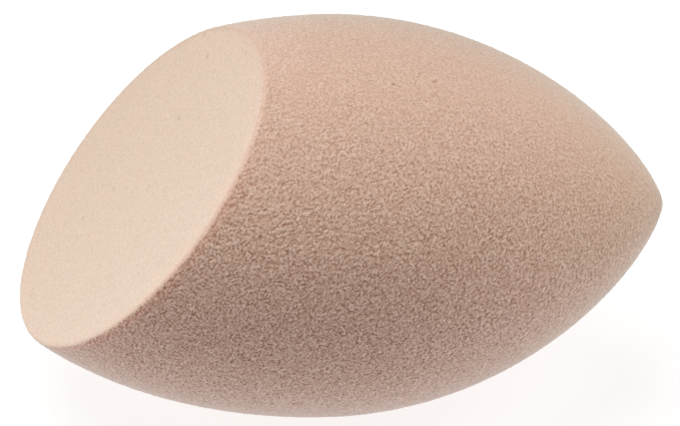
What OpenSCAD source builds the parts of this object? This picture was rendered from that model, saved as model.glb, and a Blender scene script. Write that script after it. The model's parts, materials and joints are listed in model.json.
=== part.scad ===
// Make-up sponge: one block of soft foam, a drop with a slanted slice at its fat end.
// It lies on its belly. X is the drop's long axis, with the tip at +X. The slice looks up and
// to -X, and the left and right halves mirror in Y. The origin is on the surface that the
// sponge lies on, under the middle of its widest ring.

/* [Drop] */
// Widest diameter of the drop
drop_d = 40; // [28:0.5:56]
// Length of the nose, from the widest ring to the tip
nose_l = 33.8; // [20:0.2:50]
// Length that the round back would have if it were not sliced
back_l = 37; // [26:0.5:52]
// How the nose draws in: 0.5 gives half an ellipse and 1 a sharp point
nose_draw_share = 0.72; // [0.5:0.01:1]
// How the back draws in, on the same scale as the nose
back_draw_share = 0.59; // [0.5:0.01:1]

/* [Slice] */
// Lean of the slice: 0 is square to the long axis, and a larger angle turns it up
slice_lean = 40; // [20:1:60]
// Distance behind the widest ring at which the slice crosses the long axis
slice_back = 22.3; // [12:0.1:30]

/* [Rest] */
// Depth to which the soft belly is pressed flat where the sponge lies
belly_flat = 0.5; // [0.2:0.1:2]

/* [Hidden] */

// Stations along the nose and along the back, and facets round the drop
stations = 40;
$fn = 144;

// Height of the long axis over the surface that the sponge lies on
axis_z = drop_d / 2 - belly_flat;

// A cutting block of this size, laid against the drop, reaches past all of it
reach = nose_l + back_l + drop_d;

// Radius of the drop at a share of the way from the widest ring to one end. The stations are
// steps of an angle, so they crowd where the ends turn in.
function ring_radius(angle, draw_share) = drop_d / 2 * pow(cos(angle), 2 * draw_share);
function station_angle(i) = 90 * i / stations;

// Outline of half a drop as [radius, place along the axis], from the back's end to the tip
back_points = [
    for (i = [stations : -1 : 1])
        [ring_radius(station_angle(i), back_draw_share), -back_l * sin(station_angle(i))]
];
nose_points = [
    for (i = [0 : stations])
        [ring_radius(station_angle(i), nose_draw_share), nose_l * sin(station_angle(i))]
];

// The whole drop, turned round the X axis
module drop() {
    rotate([0, 90, 0])
        rotate_extrude()
            polygon(concat(back_points, nose_points));
}

// All that lies beyond a plane through the origin, on the side that local +Z points to
module beyond_plane() {
    translate([-reach, -reach, 0])
        cube([2 * reach, 2 * reach, reach]);
}

// What the slanted slice takes off the fat end
module slice_cut() {
    translate([-slice_back, 0, 0])
        rotate([0, slice_lean - 90, 0])
            beyond_plane();
}

// What the surface underneath presses flat
module belly_cut() {
    translate([0, 0, -axis_z])
        rotate([180, 0, 0])
            beyond_plane();
}

module foam_body() {
    color([0.82, 0.69, 0.60])
        translate([0, 0, axis_z])
            difference() {
                drop();
                slice_cut();
                belly_cut();
            }
}

foam_body();
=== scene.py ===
# %% [markdown]
# # A foam make-up sponge
# This lesson dresses one small object: a drop-shaped sponge of soft foam with a slanted slice at
# its fat end. The real one is a single block of foam, so there is a single piece to make. What
# makes it believable is its shape, its rounded rim and the grain of its cells.
#
# First the fixed frame is loaded. It holds the solid at its real size, in metres, lying as the
# sponge lies.

# %% Load the frame
import json
import math

import bpy
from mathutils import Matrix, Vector


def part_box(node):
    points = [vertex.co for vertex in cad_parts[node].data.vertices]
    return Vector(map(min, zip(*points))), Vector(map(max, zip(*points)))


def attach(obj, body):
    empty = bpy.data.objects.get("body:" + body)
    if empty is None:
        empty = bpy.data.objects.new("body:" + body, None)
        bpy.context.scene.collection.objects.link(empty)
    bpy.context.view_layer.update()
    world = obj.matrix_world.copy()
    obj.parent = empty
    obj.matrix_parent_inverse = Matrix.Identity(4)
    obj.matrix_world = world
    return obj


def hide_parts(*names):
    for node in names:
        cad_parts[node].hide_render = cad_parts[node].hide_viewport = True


MM = 0.001

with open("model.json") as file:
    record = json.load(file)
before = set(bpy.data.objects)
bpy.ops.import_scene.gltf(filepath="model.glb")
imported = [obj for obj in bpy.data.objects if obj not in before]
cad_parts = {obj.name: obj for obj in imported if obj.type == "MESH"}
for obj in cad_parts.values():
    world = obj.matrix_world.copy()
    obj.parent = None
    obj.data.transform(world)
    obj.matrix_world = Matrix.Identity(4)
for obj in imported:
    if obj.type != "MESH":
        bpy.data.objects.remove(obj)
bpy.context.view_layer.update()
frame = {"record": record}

# %% [markdown]
# ## Sizes
# The solid says how wide the drop is, how high its long axis lies and where the slice is, so those
# are read from the frame. The widest ring is at x = 0. The rest are the values of the drop's
# outline: its radius is the widest radius times the cosine of an angle to twice a draw share, with
# 0.5 for half an ellipse and 1 for a sharp point.

# %% Sizes
low, high = (Vector(corner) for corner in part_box("foam_body"))
drop_radius = (high.y - low.y) / 2
axis_height = high.z - drop_radius
drop_middle = Vector((0, 0, axis_height))
nose_length = high.x
back_length = 37 * MM
nose_draw_share = 0.72
back_draw_share = 0.59

slice_mount = next(m for m in frame["record"]["mounts"] if m["name"] == "slice_face")
slice_point = Vector(slice_mount["pos_m"])
slice_normal = Vector(slice_mount["axis"])
sizes = {"radius": drop_radius, "axis height": axis_height, "nose": nose_length}
print("the drop in mm:", {name: round(size / MM, 2) for name, size in sizes.items()})

# %% [markdown]
# ## Camera
# The photograph was taken from in front and above, with a long lens from a little way off, so that
# the drop shows hardly any perspective. A long lens at 0.6 m does the same. The camera needs no
# roll and no shift: its place is given by two angles, and the point that it looks at by two short
# steps from the middle of the widest ring.

# %% Camera
def turned(turn, rise):
    """Unit vectors to the camera, right and up, for a turn about Z and a rise over the table."""
    level = Vector((-math.sin(turn), -math.cos(turn), 0))
    to_camera = level * math.cos(rise) + Vector((0, 0, math.sin(rise)))
    right = Vector((math.cos(turn), -math.sin(turn), 0))
    return to_camera, right, to_camera.cross(right)


CAMERA_TURN = math.radians(3.12)
CAMERA_RISE = math.radians(43.28)
CAMERA_DISTANCE = 0.6
LENS = 319.5
SENSOR_WIDTH = 36
NEAREST_SEEN = 0.01
AIM_RIGHT = 1.56 * MM
AIM_UP = 0.25 * MM

to_camera, camera_right, camera_up = turned(CAMERA_TURN, CAMERA_RISE)
aim = drop_middle + AIM_RIGHT * camera_right + AIM_UP * camera_up
bpy.ops.object.camera_add(location=aim + CAMERA_DISTANCE * to_camera)
camera = bpy.context.object
camera.rotation_euler = to_camera.to_track_quat("Z", "Y").to_euler()
camera.data.lens = LENS
camera.data.sensor_width = SENSOR_WIDTH
camera.data.clip_start = NEAREST_SEEN
bpy.context.scene.camera = camera
print("camera at", [round(v, 4) for v in camera.location])

# %% [markdown]
# ## Turning the drop
# A drop is a turned form, so it is made as on a lathe. A plane is collapsed to one point, which is
# set on the tip. The point is extruded along the outline in short steps, and Spin carries the
# outline once round the long axis. The steps follow an angle, so that they crowd where the outline
# bends most. Spin leaves the first and the last outline on top of each other, so they are merged,
# and the normals are made to point outwards.

# %% Turn the drop on its axis
STATIONS = 72
SPOKES = 192
MERGE = 0.002 * MM


def outline_point(angle):
    """A point of the drop's upper outline: 90 degrees at the tip, 0 at the widest ring."""
    on_nose = angle > 0
    share = nose_draw_share if on_nose else back_draw_share
    length = nose_length if on_nose else back_length
    radius = drop_radius * max(math.cos(angle), 0) ** (2 * share)
    return Vector((length * math.sin(angle), 0, axis_height + radius))


angles = [math.pi / 2 * (1 - i / STATIONS) for i in range(2 * STATIONS + 1)]
outline = [outline_point(angle) for angle in angles]

bpy.ops.object.select_all(action="DESELECT")
bpy.ops.mesh.primitive_plane_add(size=MM, location=(0, 0, 0))
sponge = bpy.context.object
sponge.name = sponge.data.name = "sponge"
bpy.ops.object.mode_set(mode="EDIT")
bpy.ops.mesh.select_all(action="SELECT")
bpy.ops.mesh.merge(type="CENTER")
bpy.ops.transform.translate(value=outline[0])
bpy.context.tool_settings.mesh_select_mode = (True, False, False)
for here, there in zip(outline, outline[1:]):
    bpy.ops.mesh.extrude_vertices_move(TRANSFORM_OT_translate={"value": there - here})
bpy.ops.mesh.select_all(action="SELECT")
bpy.ops.mesh.spin(steps=SPOKES, angle=2 * math.pi, center=drop_middle, axis=(1, 0, 0))
bpy.ops.mesh.select_all(action="SELECT")
bpy.ops.mesh.remove_doubles(threshold=MERGE)
bpy.ops.mesh.normals_make_consistent(inside=False)
bpy.ops.object.mode_set(mode="OBJECT")
print("turned drop:", len(sponge.data.vertices), "points")

# %% [markdown]
# ## The slice and the belly
# On the real sponge the slanted face is one straight cut with a blade, so it is made as one here:
# Bisect cuts the drop along the plane, clears what lies beyond it and fills the opening. The same
# tool presses the belly flat where the soft foam lies on the table, half a millimetre deep.

# %% Slice the fat end and flatten the belly
bpy.ops.object.mode_set(mode="EDIT")
table_point, downwards = Vector((0, 0, 0)), Vector((0, 0, -1))
for point, normal in ((slice_point, slice_normal), (table_point, downwards)):
    bpy.ops.mesh.select_all(action="SELECT")
    bpy.ops.mesh.bisect(
        plane_co=point, plane_no=normal, use_fill=True, clear_outer=True, threshold=MERGE
    )
bpy.ops.object.mode_set(mode="OBJECT")
print("sliced drop:", len(sponge.data.polygons), "faces")

# %% [markdown]
# ## An even skin of small faces
# The cells of the foam are about four tenths of a millimetre wide, and they are to be real dents.
# So the skin needs small faces that are alike everywhere, at the tip as on the slice. A voxel
# remesh gives that, with faces of little over a third of a cell. Rounds of smoothing then soften
# the rim, because a blade leaves no knife edge on foam: it springs back into a radius of about
# half a millimetre.

# %% Remesh and soften the rim
VOXEL = 0.15 * MM
SMOOTHING_SHARE = 0.5
SMOOTHING_ROUNDS = 20


def apply_modifier(kind, **settings):
    """Adds a modifier to the active object, sets it up and applies it."""
    bpy.ops.object.modifier_add(type=kind)
    modifier = bpy.context.object.modifiers[-1]
    for name, value in settings.items():
        setattr(modifier, name, value)
    bpy.ops.object.modifier_apply(modifier=modifier.name)


apply_modifier("REMESH", mode="VOXEL", voxel_size=VOXEL, adaptivity=0)
apply_modifier("SMOOTH", factor=SMOOTHING_SHARE, iterations=SMOOTHING_ROUNDS)
bpy.ops.object.shade_smooth()
print("even skin:", len(sponge.data.polygons), "faces")

# %% [markdown]
# ## A flat map for the piece
# The look of the foam is worked out in space, so nothing here needs a UV map. A copy of the sponge
# in another program would need one, to hold its colours as a picture. The map is laid out now,
# while the skin is still smooth, because on the dented skin it would fall into thousands of
# islands.

# %% Lay out a map
ISLAND_TURN = math.radians(66)
ISLAND_GAP = 0.004

bpy.ops.mesh.uv_texture_add()
sponge.data.uv_layers.active.name = "OFBake"
bpy.ops.object.mode_set(mode="EDIT")
bpy.ops.mesh.select_all(action="SELECT")
bpy.ops.uv.smart_project(
    angle_limit=ISLAND_TURN, island_margin=ISLAND_GAP, scale_to_bounds=True
)
bpy.ops.object.mode_set(mode="OBJECT")
print("map:", sponge.data.uv_layers.active.name)

# %% [markdown]
# ## Nodes by hand
# Both the dents and the colours are node trees. These helpers add one node, set it up and join or
# fill its inputs, so that a tree below reads like a list of steps.

# %% Helpers that add a node
def add_node(tree, kind, inputs=None, **settings):
    """Adds a node. Each input is given a value, or another node's output to be joined to."""
    node = tree.nodes.new(kind)
    for name, value in settings.items():
        setattr(node, name, value)
    for name, value in (inputs or {}).items():
        if isinstance(value, bpy.types.NodeSocket):
            tree.links.new(value, node.inputs[name])
        else:
            node.inputs[name].default_value = value
    return node


def arithmetic(tree, operation, *values):
    """The output of one step of arithmetic."""
    node = add_node(tree, "ShaderNodeMath", dict(enumerate(values)), operation=operation)
    return node.outputs[0]


def product(tree, first, *others):
    """The output of numbers multiplied one after the other."""
    for other in others:
        first = arithmetic(tree, "MULTIPLY", first, other)
    return first


def vector_arithmetic(tree, operation, *values, output=0):
    """The output of one step of arithmetic on vectors. SCALE takes its number last."""
    inputs = dict(enumerate(values))
    if operation == "SCALE":
        inputs = {0: values[0], "Scale": values[1]}
    return add_node(tree, "ShaderNodeVectorMath", inputs, operation=operation).outputs[output]


def soft_step(tree, value, start, end, low_value=0.0, high_value=1.0):
    """The output of a soft step from low_value at start to high_value at end."""
    inputs = {"Value": value, "From Min": start, "From Max": end}
    inputs |= {"To Min": low_value, "To Max": high_value}
    node = add_node(tree, "ShaderNodeMapRange", inputs, interpolation_type="SMOOTHSTEP")
    return node.outputs["Result"]


def mixed_number(tree, share, first, second):
    """The output of a mix of two numbers."""
    return add_node(tree, "ShaderNodeMix", {0: share, 2: first, 3: second}).outputs[0]


NOISE_MIDDLE = 0.5


def noise(tree, place, grain_size, detail=0.0, roughness=0.5):
    """The output of a noise from 0 to 1 about its middle, with blots of about one size."""
    inputs = {"Vector": place, "Scale": 1 / grain_size, "Detail": detail, "Roughness": roughness}
    return add_node(tree, "ShaderNodeTexNoise", inputs).outputs["Fac"]


# %% [markdown]
# ## The grain of the foam
# Foam is a heap of bubbles, and grinding opens the ones at the surface. What is left is a dense
# relief of small pits and of crests that wind between them, about four tenths of a millimetre
# apart. A plain noise has that look when its blots are half as wide as that.
#
# Foam rises while it sets, and its bubbles are drawn out along the way that it rose. This sponge
# was cut askew from the bun, so its grain runs slantwise. To get that, a place is turned until the
# rise lies along Z, and is then squeezed there before the noise is read.

# %% The run of the grain
CELL = 0.22
STRETCH = 1.25
TURN = (0.71, -0.82, 0.28)


def along_the_rise(tree, place_mm):
    """A place in millimetres, turned so that the foam's rise is Z, and squeezed along it."""
    inputs = {"Vector": place_mm, "Rotation": TURN}
    turned_place = add_node(tree, "ShaderNodeVectorRotate", inputs, rotation_type="EULER_XYZ")
    return vector_arithmetic(tree, "MULTIPLY", turned_place.outputs[0], (1, 1, 1 / STRETCH))


# %% [markdown]
# ## The relief of the cells
# The relief is pressed into the mesh with geometry nodes. The noise is read at each point, and the
# point moves along its normal. The grinder left a fine grain on the skin that faces up and a coarse
# one on the skin that faces sideways. How far a point faces sideways is the size of its normal's Y.

# %% The relief of the cells
RELIEF = 0.15 * MM
COARSE_RELIEF = 0.25 * MM
COARSE_POWER = 1.5

grain = bpy.data.node_groups.new("foam_grain", "GeometryNodeTree")
grain.interface.new_socket("Geometry", in_out="INPUT", socket_type="NodeSocketGeometry")
grain.interface.new_socket("Geometry", in_out="OUTPUT", socket_type="NodeSocketGeometry")
skin_in = add_node(grain, "NodeGroupInput").outputs["Geometry"]
place = add_node(grain, "GeometryNodeInputPosition").outputs[0]
outwards = add_node(grain, "GeometryNodeInputNormal").outputs["Normal"]
in_mm = vector_arithmetic(grain, "SCALE", place, 1 / MM)
bubbles = noise(grain, along_the_rise(grain, in_mm), CELL)
relief = arithmetic(grain, "SUBTRACT", bubbles, NOISE_MIDDLE)

sideways = add_node(grain, "ShaderNodeSeparateXYZ", {0: outwards}).outputs["Y"]
# The same share also sets how strong the painted shade in the pits is.
coarse_and_shaded = arithmetic(grain, "POWER", arithmetic(grain, "ABSOLUTE", sideways), COARSE_POWER)
depth = mixed_number(grain, coarse_and_shaded, RELIEF, COARSE_RELIEF)

# %% [markdown]
# ## Where the slice is
# Both the relief and the colours need to know which points lie on the slice. A point's height over
# the slice's plane says so: it is nought on the slice, and the drop lies below it. A blade leaves
# much shallower pits than the grinder does, so the slice is nearly smooth.

# %% The mask of the slice
RIM = 0.25 * MM
SLICE_EDGE = RIM / 5
SLICE_RELIEF = 0.02 * MM

from_slice = vector_arithmetic(grain, "SUBTRACT", place, slice_point)
height = vector_arithmetic(grain, "DOT_PRODUCT", from_slice, slice_normal, output="Value")
sliced = soft_step(grain, height, -RIM, -SLICE_EDGE)
depth = mixed_number(grain, sliced, depth, SLICE_RELIEF)

# %% [markdown]
# ## The rim of the slice
# Light passes through the thin edge of the foam, and the colours paint it in as tints, so they need
# to know where the rim is. A mask of the flat part of the slice is blurred along the skin. Half way
# between nought and one is the rim, so the mask times what it lacks to one, times four, is 1 there
# and fades to both sides. A few rounds of blur give the fine line of the rim, and many give the
# wide glow beside it. How many millimetres a point lies below the slice's plane is kept too.

# %% The rim of the slice
FLAT = 0.08 * MM
RIM_BLUR = 6
GLOW_BLUR = 150


def along_the_rim(mask, rounds):
    """1 where the blurred mask is half way between 0 and 1, and less to both sides."""
    blur = {0: mask, "Iterations": rounds}
    blurred = add_node(grain, "GeometryNodeBlurAttribute", blur, data_type="FLOAT").outputs[0]
    return product(grain, blurred, arithmetic(grain, "SUBTRACT", 1.0, blurred), 4.0)


flat = soft_step(grain, height, -FLAT, 0.0)
rim = along_the_rim(flat, RIM_BLUR)
by_rim = along_the_rim(flat, GLOW_BLUR)
below = product(grain, height, -1 / MM)

# %% [markdown]
# ## Stray pores
# Here and there a bubble was larger than its neighbours, and the grinder left a hole that the eye
# finds at once. A Voronoi pattern with wide cells scatters points in space, and a pore opens
# wherever the skin passes close to one. So each pore has another width, and no two are alike. The
# slice has fainter ones, because a blade tears nothing out.

# %% Stray pores
PORE_SPACING = 3.4
PORE_RADIUS = 0.3
PORE_DEPTH = 0.12 * MM
SLICE_PORE_SHARE = 0.5

scatter = {"Vector": in_mm, "Scale": 1 / PORE_SPACING}
to_pore = add_node(grain, "ShaderNodeTexVoronoi", scatter).outputs["Distance"]
pore = soft_step(grain, to_pore, 0.0, PORE_RADIUS / PORE_SPACING, 1.0, 0.0)
pore = product(grain, pore, mixed_number(grain, sliced, 1.0, SLICE_PORE_SHARE))

# %% [markdown]
# ## Pressing it in
# The point moves out by the relief and in by the pore, but never below the table. Six facts are
# kept on each point for the colours: its share in the coarse skin, which also gets more painted
# shade, in a pore, in the slice, in the painted light of the rim and of the glow by the rim, and
# how far it lies below the slice.

# %% Press the relief into the skin
rise = product(grain, relief, depth)
fall = product(grain, pore, PORE_DEPTH)
move = vector_arithmetic(grain, "SCALE", outwards, arithmetic(grain, "SUBTRACT", rise, fall))
moved_place = vector_arithmetic(grain, "ADD", place, move)
above_table = vector_arithmetic(grain, "MAXIMUM", moved_place, (-1, -1, 0))
moved = add_node(grain, "GeometryNodeSetPosition", {"Geometry": skin_in, "Position": above_table})
facts = {
    "coarse_and_shaded": coarse_and_shaded,
    "pore": pore,
    "sliced": sliced,
    "rim": rim,
    "by_rim": by_rim,
    "below": below,
}
for name, value in facts.items():
    inputs = {"Geometry": moved.outputs[0], "Name": name, "Value": value}
    moved = add_node(grain, "GeometryNodeStoreNamedAttribute", inputs, domain="POINT")
add_node(grain, "NodeGroupOutput", {"Geometry": moved.outputs[0]})
apply_modifier("NODES", node_group=grain)
print("stored on each point:", [a.name for a in sponge.data.attributes])

# %% [markdown]
# ## Mixing colours
# Colours are written as a picture shows them, from 0 to 255, and turned into amounts of light for
# the shader. A tint is such an amount that another colour is multiplied by: 1 leaves it as it is.

# %% Helpers that mix colours
def as_light(rgb):
    """A colour that a picture shows as these 0 to 255 numbers, as a shader wants it."""
    shares = [value / 255 for value in rgb]
    light = [v / 12.92 if v < 0.04045 else ((v + 0.055) / 1.055) ** 2.4 for v in shares]
    return (*light, 1.0)


def mixed(tree, share, first, second, blend="MIX"):
    """The output of a mix of two colours."""
    inputs = {0: share, 6: first, 7: second}
    node = add_node(tree, "ShaderNodeMix", inputs, data_type="RGBA", blend_type=blend)
    return node.outputs[2]


def tinted(tree, share, colour, tint):
    """The output of a colour that is tinted by a share, from 0 for not at all to 1."""
    return mixed(tree, share, colour, tint, blend="MULTIPLY")


def stored(tree, name):
    """The output of a number that is stored on the points."""
    return add_node(tree, "ShaderNodeAttribute", attribute_name=name).outputs["Fac"]


def set_inputs(node, values):
    """Sets a node's own inputs, which are the same all over the surface."""
    for name, value in values.items():
        node.inputs[name].default_value = value


# %% [markdown]
# ## The foam's own colour, and painted light on the slice
# The foam is one pale skin colour all through, with faint warm and cool blots from the dye. The
# slice is paler, because its cells are cut open and hold no shade. It also brightens evenly towards
# its front rim, which is painted light, for the light that comes through the thin edge of the foam.

# %% The foam's own colour, and painted light on the slice
SKIN = (217, 182, 160)
SLICE_BACK = (227, 200, 175)
SLICE_FRONT_LIT = (244, 220, 199)
WARM = (1.02, 0.997, 0.985, 1)
COOL = (0.98, 1.003, 1.015, 1)
BLOT = 1.2

foam = bpy.data.materials.new("foam")
foam.use_nodes = True
tree = foam.node_tree
shader = tree.nodes["Principled BSDF"]
object_place = add_node(tree, "ShaderNodeTexCoord").outputs["Object"]
foam_mm = vector_arithmetic(tree, "SCALE", object_place, 1 / MM)
on_slice = stored(tree, "sliced")

# Over the drop's width, towards_front runs from 0 at the back to 1 in front.
along_each = add_node(tree, "ShaderNodeSeparateXYZ", {0: object_place}).outputs
towards_tip, over_table = along_each["X"], along_each["Z"]
towards_front = arithmetic(tree, "MULTIPLY_ADD", along_each["Y"], -0.5 / drop_radius, 0.5)
# Painted light: the slice gets paler towards its front rim.
slice_colour = mixed(tree, towards_front, as_light(SLICE_BACK), as_light(SLICE_FRONT_LIT))
foam_colour = mixed(tree, on_slice, as_light(SKIN), slice_colour)
blot_tint = mixed(tree, noise(tree, foam_mm, BLOT, detail=1.0), WARM, COOL)
foam_colour = tinted(tree, 1.0, foam_colour, blot_tint)
print("light of the skin's colour:", [round(v, 3) for v in as_light(SKIN)[:3]])

# %% [markdown]
# ## Painted shade in the pits
# The same noise that lifts the crests also paints shade into the pits and light onto the crests,
# because light that is caught in a pit comes out darker and redder. It is worked out for each dot
# of the picture, which is finer than the mesh. The painted shading is livelier in some places than
# in others, strong where the grain is coarse and the skin faces sideways, and faint on the slice.
# Where it is strong, its mean makes the skin darker and redder: painted shade on the skin that
# faces sideways.

# %% Painted shade in the pits
# Painted light on the crests and painted shade in the pits.
CREST_LIGHT_TINT = (1.31, 1.43, 1.52, 1)
PIT_SHADE_TINT = (0.57, 0.38, 0.28, 1)
PLAIN = (1, 1, 1, 1)
CONTRAST = 2.3
CELL_DETAIL, CELL_ROUGHNESS = 1.0, 0.4
PATCH = 1.2
DULL_NOISE, LIVELY_NOISE = 0.3, 0.7
DULL, LIVELY = 0.8, 1.2
FINE_SHADING = 0.35
COARSE_SHADING = 1.0
SLICE_SHADING = 0.2

patches = noise(tree, foam_mm, PATCH, detail=1.0)
liveliness = soft_step(tree, patches, DULL_NOISE, LIVELY_NOISE, DULL, LIVELY)
foam_rise = along_the_rise(tree, foam_mm)
cells = noise(tree, foam_rise, CELL, detail=CELL_DETAIL, roughness=CELL_ROUGHNESS)
in_pit = arithmetic(tree, "SUBTRACT", NOISE_MIDDLE, cells)
in_pit = product(tree, in_pit, product(tree, liveliness, CONTRAST))
in_pit = arithmetic(tree, "ADD", in_pit, NOISE_MIDDLE)
shading = mixed_number(tree, stored(tree, "coarse_and_shaded"), FINE_SHADING, COARSE_SHADING)
shading = mixed_number(tree, on_slice, shading, SLICE_SHADING)
# The painted light of the crests and the painted shade of the pits.
pit_shade_tint = mixed(tree, in_pit, CREST_LIGHT_TINT, PIT_SHADE_TINT)
pit_shade_tint = mixed(tree, shading, PLAIN, pit_shade_tint)
foam_colour = tinted(tree, 1.0, foam_colour, pit_shade_tint)
print("foam material:", len(tree.nodes), "nodes so far")

# %% [markdown]
# ## Where the rim is lit
# Light passes through the thin edge of the slice, and it is painted into the colour; how it shows
# depends on where the rim runs.
# It is strongest in front and paler where the rim runs over the top, and it fades low down, where
# the rim gets little light from above. Nothing of it begins or ends sharply, so each range is given
# as a soft step: where it starts and ends, and the values there if they aren't 0 and 1.

# %% Where the rim is lit
IN_FRONT = (0.65, 0.9)
ON_TOP = (0.4, 0.6, 1.0, 0.0)
LIT_ABOVE = (18 * MM, 28 * MM, 0.4, 1.0)
PAST_THE_RIM = (0.1, 0.3)

below_slice = stored(tree, "below")
in_front = soft_step(tree, towards_front, *IN_FRONT)
on_top = soft_step(tree, towards_front, *ON_TOP)
lit_above = soft_step(tree, over_table, *LIT_ABOVE)
past_the_rim = soft_step(tree, below_slice, *PAST_THE_RIM)
print("the rim is fully lit from", round(LIT_ABOVE[1] / MM), "mm over the table")

# %% [markdown]
# ## Painted light on the slice's side of the rim
# A soft pink line of painted light runs along the rim, stronger in front, and more on the slice
# than on the skin. Beside it the slice gets a painted glow over a millimetre or two: brighter in
# front, and only pinker where the rim runs over the top.

# %% The line of the rim and the glow beside it
# Painted light: a pink line along the rim, and a glow beside it on the slice.
RIM_TINT = (0.885, 0.80, 0.78, 1)
GLOW_TINT_ON_TOP = (1.0, 0.95, 0.95, 1)
GLOW_TINT_IN_FRONT = (1.06, 1.02, 1.03, 1)
RIM_BEHIND, MORE_RIM_IN_FRONT = 0.85, 0.25
RIM_ON_SKIN, RIM_ON_SLICE = 0.5, 1.0
GLOW_BEGINS = (0.2, 0.35)
GLOW_BRIGHTENS = (0.4, 0.75)

rim_strength = arithmetic(tree, "MULTIPLY_ADD", in_front, MORE_RIM_IN_FRONT, RIM_BEHIND)
rim_side = mixed_number(tree, on_slice, RIM_ON_SKIN, RIM_ON_SLICE)
rim_share = product(tree, stored(tree, "rim"), rim_strength, rim_side, lit_above)
glow_begins = soft_step(tree, towards_front, *GLOW_BEGINS)
glow_share = product(tree, stored(tree, "by_rim"), on_slice, glow_begins, lit_above)
glow_brightens = soft_step(tree, towards_front, *GLOW_BRIGHTENS)
glow_tint = mixed(tree, glow_brightens, GLOW_TINT_ON_TOP, GLOW_TINT_IN_FRONT)
foam_colour = tinted(tree, rim_share, foam_colour, RIM_TINT)
foam_colour = tinted(tree, glow_share, foam_colour, glow_tint)
print("foam material:", len(tree.nodes), "nodes with the line and the glow")

# %% [markdown]
# ## Painted light on the skin's side of the rim
# On the shaded skin in front, where the light from inside is most of what there is, a red band of
# painted light follows just below the rim. Where the rim runs over the top, the skin behind it is
# lit from inside and from above, and gets a pale blush of painted light that fades over five
# millimetres.

# %% The red band and the pale blush
# Painted light: a red band below the rim in front, and a pale blush behind it on top.
BAND_TINT = (1.05, 0.96, 0.945, 1)
LIT_BLUSH_TINT = (1.05, 1.06, 1.09, 1)
BAND_FADES = (0.7, 1.0, 1.0, 0.0)
BLUSH_FADES = (0.3, 5.0, 1.0, 0.0)

band_fades = soft_step(tree, below_slice, *BAND_FADES)
band_share = product(tree, in_front, past_the_rim, band_fades)
blush_fades = soft_step(tree, below_slice, *BLUSH_FADES)
blush_share = product(tree, on_top, past_the_rim, blush_fades)
foam_colour = tinted(tree, band_share, foam_colour, BAND_TINT)
foam_colour = tinted(tree, blush_share, foam_colour, LIT_BLUSH_TINT)
print("foam material:", len(tree.nodes), "nodes with the band and the blush")

# %% [markdown]
# ## Pores, tip and outline
# The stray pores get painted shade, and the tip is a little yellower than the rest. Where the eye
# grazes the skin, the foam looks paler and less pink, as along the tips of its crests. So the
# colour fades to a pale beige towards every outline: a painted sheen.

# %% Pores, tip and outline
# Painted shade in the stray pores, and a painted sheen towards every outline.
PORE_SHADE_TINT = (0.55, 0.45, 0.40, 1)
TIP_TINT = (0.975, 1.0, 0.96, 1)
TIP_START, TIP_FULL = 18 * MM, 32 * MM
PAINTED_SHEEN_COLOUR = (212, 199, 177)
GRAZING_POWER = 4

at_tip = soft_step(tree, towards_tip, TIP_START, TIP_FULL)
foam_colour = tinted(tree, at_tip, foam_colour, TIP_TINT)
# Painted shade in the stray pores.
foam_colour = tinted(tree, stored(tree, "pore"), foam_colour, PORE_SHADE_TINT)

# Painted sheen: paler towards every outline, by the angle of view.
painted_sheen = add_node(tree, "ShaderNodeLayerWeight", {"Blend": 0.5}).outputs["Facing"]
painted_sheen = arithmetic(tree, "POWER", painted_sheen, GRAZING_POWER)
foam_colour = mixed(tree, painted_sheen, foam_colour, as_light(PAINTED_SHEEN_COLOUR))
tree.links.new(foam_colour, shader.inputs["Base Color"])
print("foam material:", len(tree.nodes), "nodes in all")

# %% [markdown]
# ## The foam's feel
# Foam is dull. Its walls scatter light in all directions, and a faint bloom shows where the skin
# turns away from the eye, as on suede or a peach, which is what the shader's sheen is for.

# %% The foam's feel
foam_feel = {
    "Roughness": 0.95,
    "Specular IOR Level": 0.2,
    "Sheen Weight": 0.5,
    "Sheen Roughness": 0.5,
}
set_inputs(shader, foam_feel)
sponge.data.materials.append(foam)
print("the sponge's materials:", [m.name for m in sponge.data.materials])

# %% [markdown]
# ## The table and the light
# The sponge lies on a light table, as in a shop's catalogue: most of the table's light is its own
# glow, which lifts the underside of the drop. The lamp in the table stands under its middle, so the
# glow is strong around the sponge and weak further out, and it is a little colder than the lamps.
# That gives the sponge a bright lower edge, and a mauve shade above it. Where the sponge keeps the
# lamps off the table, only the glow is left, and that is its soft shadow.
#
# The eye, a mirror or a glass sees another glow instead, which makes up for what the lamps lack
# further out, so that the table stays white up to its edge. The light path node tells what kind of
# ray asks.

# %% Table
TABLE_SIZE = 3.0
TABLE_COLOUR = (0.3, 0.3, 0.3, 1)
NEAR, FAR = 0.04, 0.06
NEAR_GLOW = (0.785, 0.785, 0.88, 1)
FAR_GLOW = (0.33, 0.31, 0.34, 1)
LIT_BY_LAMPS, UNLIT = 0.1, 0.6
SHOWN_GLOW, SHOWN_FAR_GLOW = 0.77, 1.0


def shown(tree):
    """The output of a mask: 1 for rays from the eye, a mirror or a glass, 0 for gathered light."""
    ray = add_node(tree, "ShaderNodeLightPath").outputs
    mirrored = arithmetic(tree, "MAXIMUM", ray["Is Glossy Ray"], ray["Is Transmission Ray"])
    return arithmetic(tree, "MAXIMUM", ray["Is Camera Ray"], mirrored)


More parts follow.
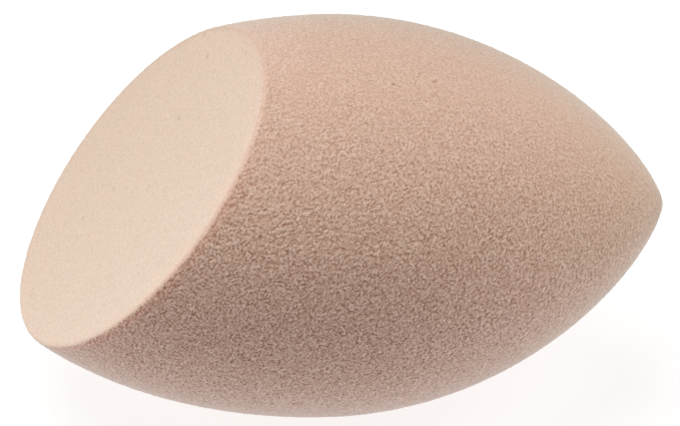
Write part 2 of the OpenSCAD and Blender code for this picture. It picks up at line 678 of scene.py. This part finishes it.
bpy.ops.object.select_all(action="DESELECT")
bpy.ops.mesh.primitive_plane_add(size=TABLE_SIZE, location=(0, 0, 0))
table = bpy.context.object
table.name = "table"
white = bpy.data.materials.new("white_table")
white.use_nodes = True
white_tree = white.node_tree
white_shader = white_tree.nodes["Principled BSDF"]
table_feel = {"Base Color": TABLE_COLOUR, "Roughness": 0.9, "Emission Strength": 1.0}
set_inputs(white_shader, table_feel)
table_place = add_node(white_tree, "ShaderNodeTexCoord").outputs["Object"]
from_middle = vector_arithmetic(white_tree, "LENGTH", table_place, output="Value")
far = soft_step(white_tree, from_middle, NEAR, FAR)
glow = mixed(white_tree, far, NEAR_GLOW, FAR_GLOW)
lit = (from_middle, LIT_BY_LAMPS, UNLIT, SHOWN_GLOW, SHOWN_FAR_GLOW)
glow = mixed(white_tree, shown(white_tree), glow, soft_step(white_tree, *lit))
white_tree.links.new(glow, white_shader.inputs["Emission Color"])
table.data.materials.append(white)
print("table:", TABLE_SIZE, "m wide, with", len(white_tree.nodes), "nodes")

# %% [markdown]
# ## A world that looks white and lights little
# Behind the table the camera has to see white, so the world uses the same mask: a ray from the
# camera gets plain white, and a ray that gathers light gets only a faint glow.

# %% World
AMBIENT = 0.03

world = bpy.data.worlds.new("studio")
bpy.context.scene.world = world
world.use_nodes = True
sky = world.node_tree
background = sky.nodes["Background"]
background.inputs["Color"].default_value = (1, 1, 1, 1)
strength = mixed_number(sky, shown(sky), AMBIENT, 1.0)
sky.links.new(strength, background.inputs["Strength"])
print("world gives", AMBIENT, "of white to gathered light")

# %% [markdown]
# ## Softboxes
# The main light is a wide softbox overhead, a little behind and to the left, which makes the slice
# the brightest part. Smaller ones stand low at the left and high at the right, and a faint one low
# at the right, so that both ends stay bright and the front is the darkest part. All of them
# together light the sponge at a plain level: a surface that faces up shows about its own colour.
#
# A square lamp at distance d lights a surface that faces it at the plain level, at which a colour
# shows as it is written, when its power in watts is about pi squared times d squared. So each lamp
# is given by its place, its size and a share of that level.

# %% Softboxes
def softbox(name, place, size, level):
    """A square lamp that faces the middle of the drop, at a share of the plain level."""
    toward_lamp = Vector(place) - drop_middle
    bpy.ops.object.light_add(type="AREA", location=place)
    lamp = bpy.context.object
    lamp.name = name
    lamp.rotation_euler = toward_lamp.to_track_quat("Z", "Y").to_euler()
    lamp.data.size = size
    lamp.data.energy = level * math.pi ** 2 * toward_lamp.length_squared
    lamp.visible_camera = False
    print(name, "gives", round(lamp.data.energy, 2), "W at", level, "of plain level")


softbox("overhead", (-0.18, 0.17, 0.66), 0.6, 0.75)
softbox("left", (-0.33, -0.03, 0.15), 0.25, 0.39)
softbox("high right", (0.45, 0, 0.45), 0.35, 0.42)
softbox("low right", (0.3, -0.15, 0.08), 0.15, 0.15)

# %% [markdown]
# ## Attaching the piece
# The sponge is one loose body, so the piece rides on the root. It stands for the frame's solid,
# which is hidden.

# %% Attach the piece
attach(sponge, "root")
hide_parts("foam_body")
bpy.context.scene.view_settings.view_transform = "Standard"
